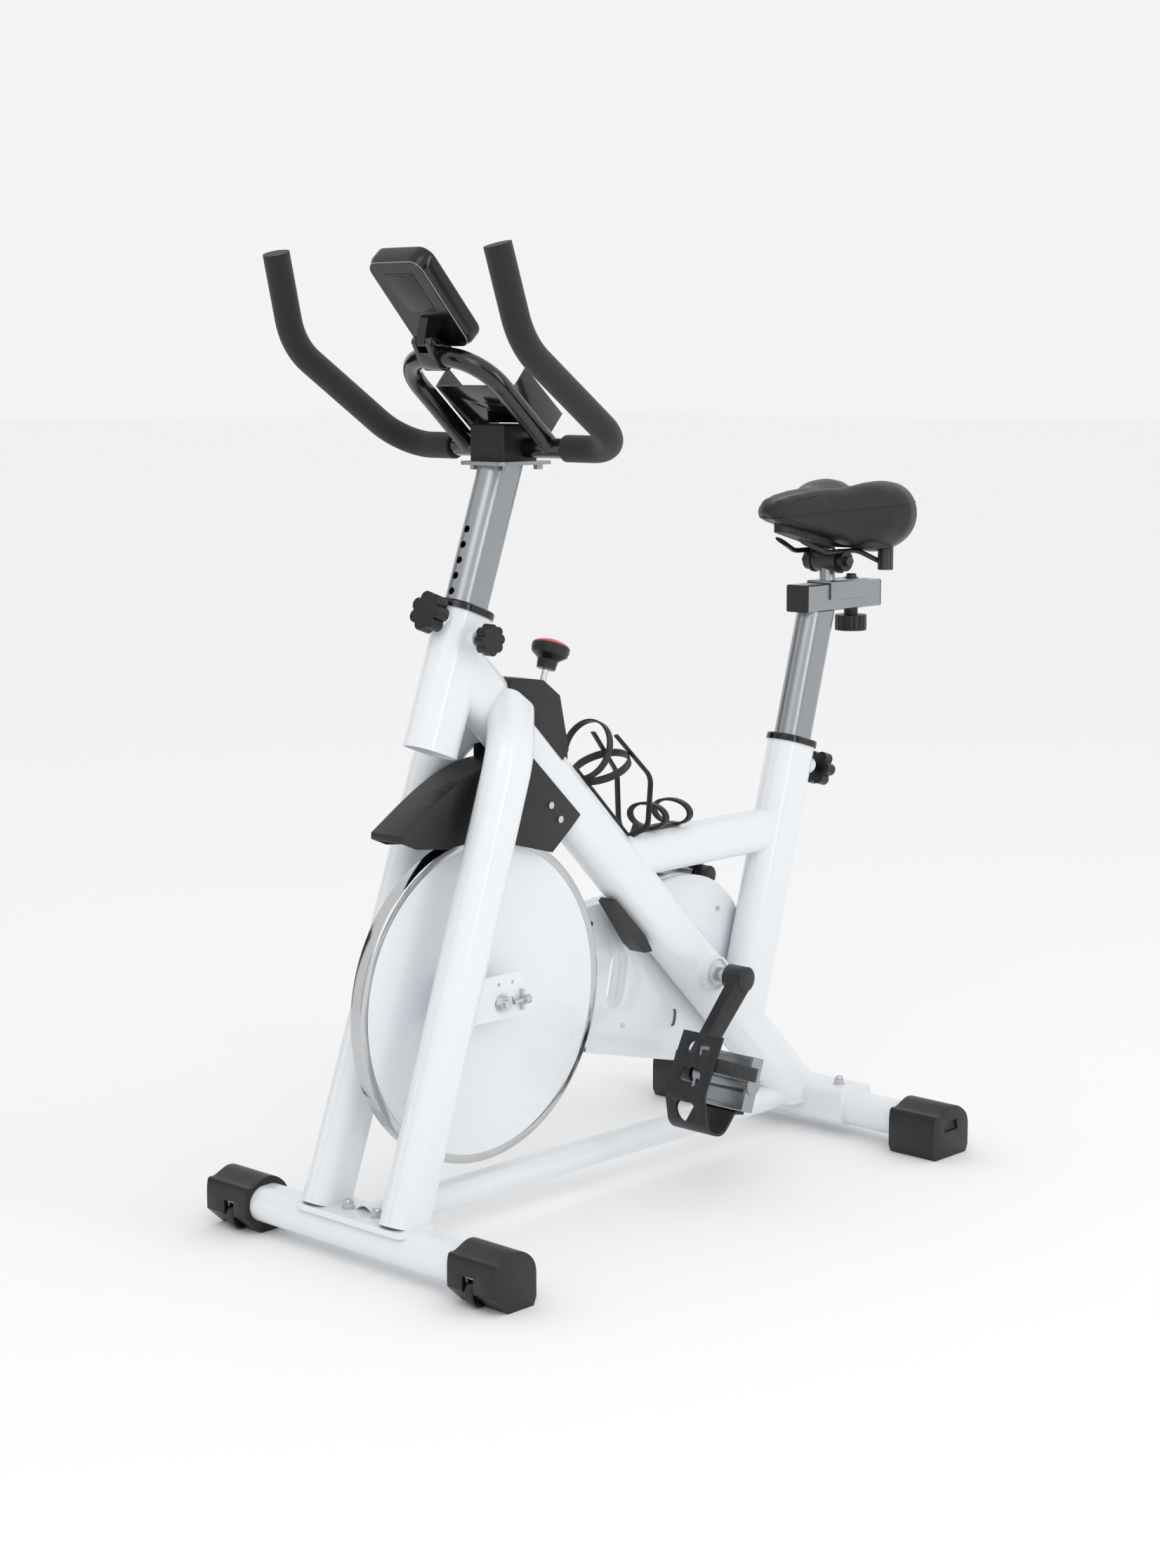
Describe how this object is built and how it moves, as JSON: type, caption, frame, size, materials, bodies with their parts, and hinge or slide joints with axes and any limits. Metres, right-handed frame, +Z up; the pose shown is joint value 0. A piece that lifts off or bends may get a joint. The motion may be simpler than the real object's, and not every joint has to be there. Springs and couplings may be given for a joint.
{
  "type": "exercise bike",
  "caption": "Stationary spin bike with a belt-driven flywheel, friction brake knob, adjustable saddle and handlebar, toe-clip pedals, console and drinks cages on a white steel frame.",
  "frame": {"origin": "centre of the bounding box's base, on the floor under the bike", "axes": "+Z up, -Y towards the flywheel and handlebar, +Y towards the saddle, +X towards the rider's left"},
  "size_m": [0.514, 1.031, 1.2174],
  "materials": {
    "belt_rubber": "matte",
    "black_metal": "gloss",
    "bright_steel": "polished",
    "console_black": "gloss",
    "display": "gloss",
    "foam": "matte foam",
    "forged_black": "satin",
    "gloss_black": "gloss",
    "knob_black": "satin",
    "matte_black": "matte",
    "rim_chrome": "polished",
    "saddle_skin": "satin",
    "silver_steel": "satin",
    "white_paint": "gloss"
  },
  "bodies": {
    "frame": {"head_tube": "white_paint", "down_tube": "white_paint", "seat_tube": "white_paint", "top_tube": "white_paint", "base_tube": "white_paint", "fork_legs": "white_paint", "front_stabilizer": "white_paint", "rear_stabilizer": "white_paint", "front_end_caps": "matte_black", "rear_end_caps": "matte_black", "stabilizer_nuts": "bright_steel", "bottom_bracket": "white_paint", "head_collar": "gloss_black", "seat_collar": "gloss_black", "belt_guard_inner": "white_paint", "belt_guard_outer": "white_paint", "drive_belt": "belt_rubber", "flywheel_axle": "bright_steel", "axle_nuts": "bright_steel", "brake_housing": "matte_black", "brake_panels": "matte_black", "fender": "matte_black", "bottle_cages": "matte_black", "frame_screws": "bright_steel"},
    "left_wheel": {"left_transport_wheel": "gloss_black"},
    "right_wheel": {"right_transport_wheel": "gloss_black"},
    "flywheel": {"flywheel_rim": "rim_chrome", "flywheel_disc": "white_paint", "flywheel_pulley": "bright_steel"},
    "crankset": {"crank_spindle": "bright_steel", "left_crank": "forged_black", "right_crank": "forged_black"},
    "left_pedal_set": {"left_pedal": "silver_steel", "left_toe_clip": "matte_black"},
    "right_pedal_set": {"right_pedal": "silver_steel", "right_toe_clip": "matte_black"},
    "brake": {"brake_shoe": "bright_steel"},
    "brake_knob": {"resistance_knob": "knob_black"},
    "handlebar_pin": {"handlebar_pin_knob": "knob_black"},
    "clamp_screw": {"head_side_knob": "knob_black"},
    "seat_pin": {"seat_pin_knob": "knob_black"},
    "handlebar": {"handlebar_post": "silver_steel", "handlebar_tube": "black_metal", "foam_grips": "foam", "stem_cover": "matte_black", "device_tray": "black_metal", "console_clamp": "black_metal"},
    "console": {"console_case": "console_black", "console_face": "display"},
    "seat_mast": {"seat_post": "silver_steel", "seat_slider": "silver_steel", "slider_end_plugs": "matte_black"},
    "carriage": {"slider_bracket": "silver_steel", "slider_bolt": "black_metal", "clamp_core": "forged_black"},
    "slider_screw": {"slider_knob": "knob_black"},
    "saddle": {"saddle_clamp": "forged_black", "saddle_rails": "forged_black", "saddle_base": "matte_black", "saddle_cushion": "saddle_skin"}
  },
  "joints": [
    {"name": "flywheel_spin", "type": "hinge", "parent": "frame", "child": "flywheel", "pos_m": [0, -0.285, 0.2963], "axis": [1, 0, 0], "continuous": true},
    {"name": "crank_spin", "type": "hinge", "parent": "frame", "child": "crankset", "pos_m": [0, 0.138, 0.262], "axis": [1, 0, 0], "continuous": true},
    {"name": "left_pedal_spin", "type": "hinge", "parent": "crankset", "child": "left_pedal_set", "pos_m": [0.139, 0.03343, 0.15446], "axis": [1, 0, 0], "continuous": true},
    {"name": "right_pedal_spin", "type": "hinge", "parent": "crankset", "child": "right_pedal_set", "pos_m": [-0.139, 0.24257, 0.36954], "axis": [1, 0, 0], "continuous": true},
    {"name": "left_wheel_spin", "type": "hinge", "parent": "frame", "child": "left_wheel", "pos_m": [0.214, -0.4975, 0.019], "axis": [1, 0, 0], "continuous": true},
    {"name": "right_wheel_spin", "type": "hinge", "parent": "frame", "child": "right_wheel", "pos_m": [-0.214, -0.4975, 0.019], "axis": [1, 0, 0], "continuous": true},
    {"name": "brake_press", "type": "slide", "parent": "frame", "child": "brake", "axis": [0, 0.342, 0.9397], "range_m": [-0.008, 0], "stiffness_N_per_m": 2000, "springref_m": 0.003},
    {"name": "resistance_turn", "type": "hinge", "parent": "brake", "child": "brake_knob", "pos_m": [0, -0.166, 0.6826], "axis": [0, 0.342, 0.9397], "continuous": true},
    {"name": "handlebar_pin_pull", "type": "slide", "parent": "frame", "child": "handlebar_pin", "axis": [0, -0.9397, 0.342], "range_m": [0, 0.01], "stiffness_N_per_m": 800, "springref_m": -0.004},
    {"name": "clamp_screw_turn", "type": "hinge", "parent": "frame", "child": "clamp_screw", "pos_m": [0.047, -0.31307, 0.7512], "axis": [1, 0, 0], "continuous": true},
    {"name": "seat_pin_pull", "type": "slide", "parent": "frame", "child": "seat_pin", "axis": [0, 0.9613, -0.2756], "range_m": [0, 0.01], "stiffness_N_per_m": 800, "springref_m": -0.004},
    {"name": "handlebar_height", "type": "slide", "parent": "frame", "child": "handlebar", "axis": [0, 0.342, 0.9397], "range_m": [-0.06, 0.03]},
    {"name": "console_tilt", "type": "hinge", "parent": "handlebar", "child": "console", "pos_m": [0, -0.366, 1.106], "axis": [1, 0, 0], "range_deg": [0, 18]},
    {"name": "seat_height", "type": "slide", "parent": "frame", "child": "seat_mast", "axis": [0, 0.2756, 0.9613], "range_m": [-0.12, 0.03]},
    {"name": "saddle_slide", "type": "slide", "parent": "seat_mast", "child": "carriage", "axis": [0, 1, 0], "range_m": [0, 0.028]},
    {"name": "slider_screw_turn", "type": "hinge", "parent": "carriage", "child": "slider_screw", "pos_m": [0, 0.467, 0.715], "axis": [0, 0, 1], "continuous": true},
    {"name": "saddle_tilt", "type": "hinge", "parent": "carriage", "child": "saddle", "pos_m": [0, 0.412, 0.806], "axis": [1, 0, 0], "range_deg": [-10, 5]}
  ],
  "couplings": [
    {"joint": "crank_spin", "follows": "flywheel_spin", "ratio": 0.31579}
  ]
}
